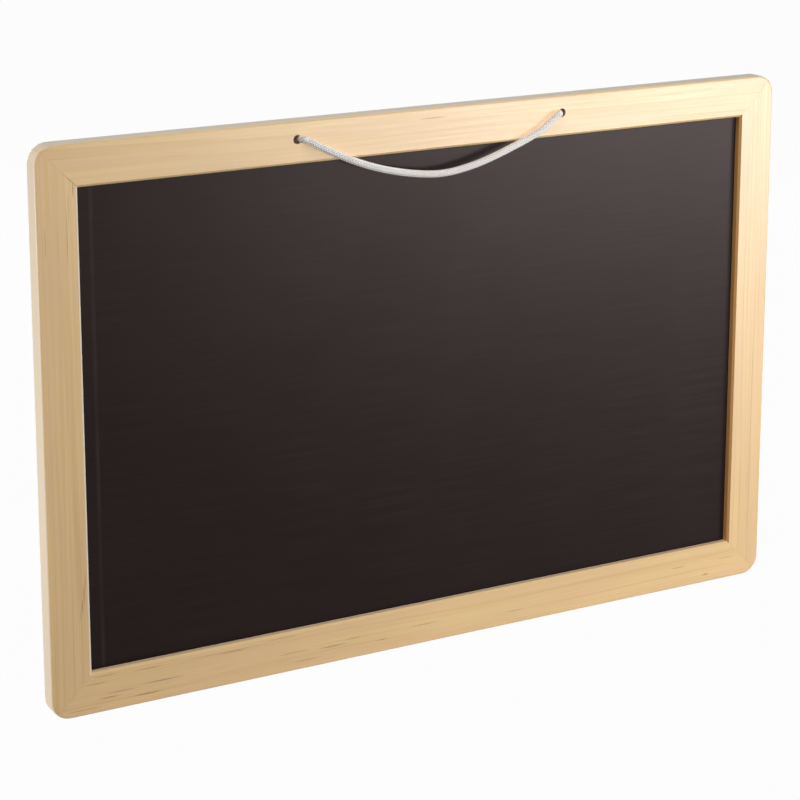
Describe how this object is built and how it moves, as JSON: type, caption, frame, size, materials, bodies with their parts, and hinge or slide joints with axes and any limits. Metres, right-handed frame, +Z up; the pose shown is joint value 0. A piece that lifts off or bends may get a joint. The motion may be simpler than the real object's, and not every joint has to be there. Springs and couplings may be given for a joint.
{
  "type": "framed chalkboard",
  "caption": "Small rectangular chalkboard: a black hardboard panel grooved into a mitred pine frame with rounded corners, and a cord loop through the top rail to hang it by.",
  "frame": {"origin": "middle of the bottom edge of the frame, half way through its thickness, on the surface that the board stands on", "axes": "+Z up, -Y out of the writing face, +X to the right as seen from the front"},
  "size_m": [0.3, 0.0159, 0.2],
  "materials": {
    "pine": "bare sanded pine, straight grain along each rail",
    "chalkboard_paint": "hardboard with a satin black chalkboard coat on the front and bare brown at the back",
    "nail_steel": "bright spring steel strip",
    "cord": "braided cotton cord, warm white"
  },
  "bodies": {
    "frame": {"top_rail": "pine", "bottom_rail": "pine", "left_stile": "pine", "right_stile": "pine", "chalk_panel": "chalkboard_paint", "top_left_nail": "nail_steel", "top_right_nail": "nail_steel", "bottom_left_nail": "nail_steel", "bottom_right_nail": "nail_steel", "left_cord_end": "cord", "right_cord_end": "cord"},
    "hanging_loop": {"cord_loop": "cord"}
  },
  "joints": [
    {"name": "loop_swing", "type": "hinge", "parent": "frame", "child": "hanging_loop", "pos_m": [0, -0.00515, 0.1936], "axis": [-1, 0, 0], "range_deg": [0, 180]}
  ]
}
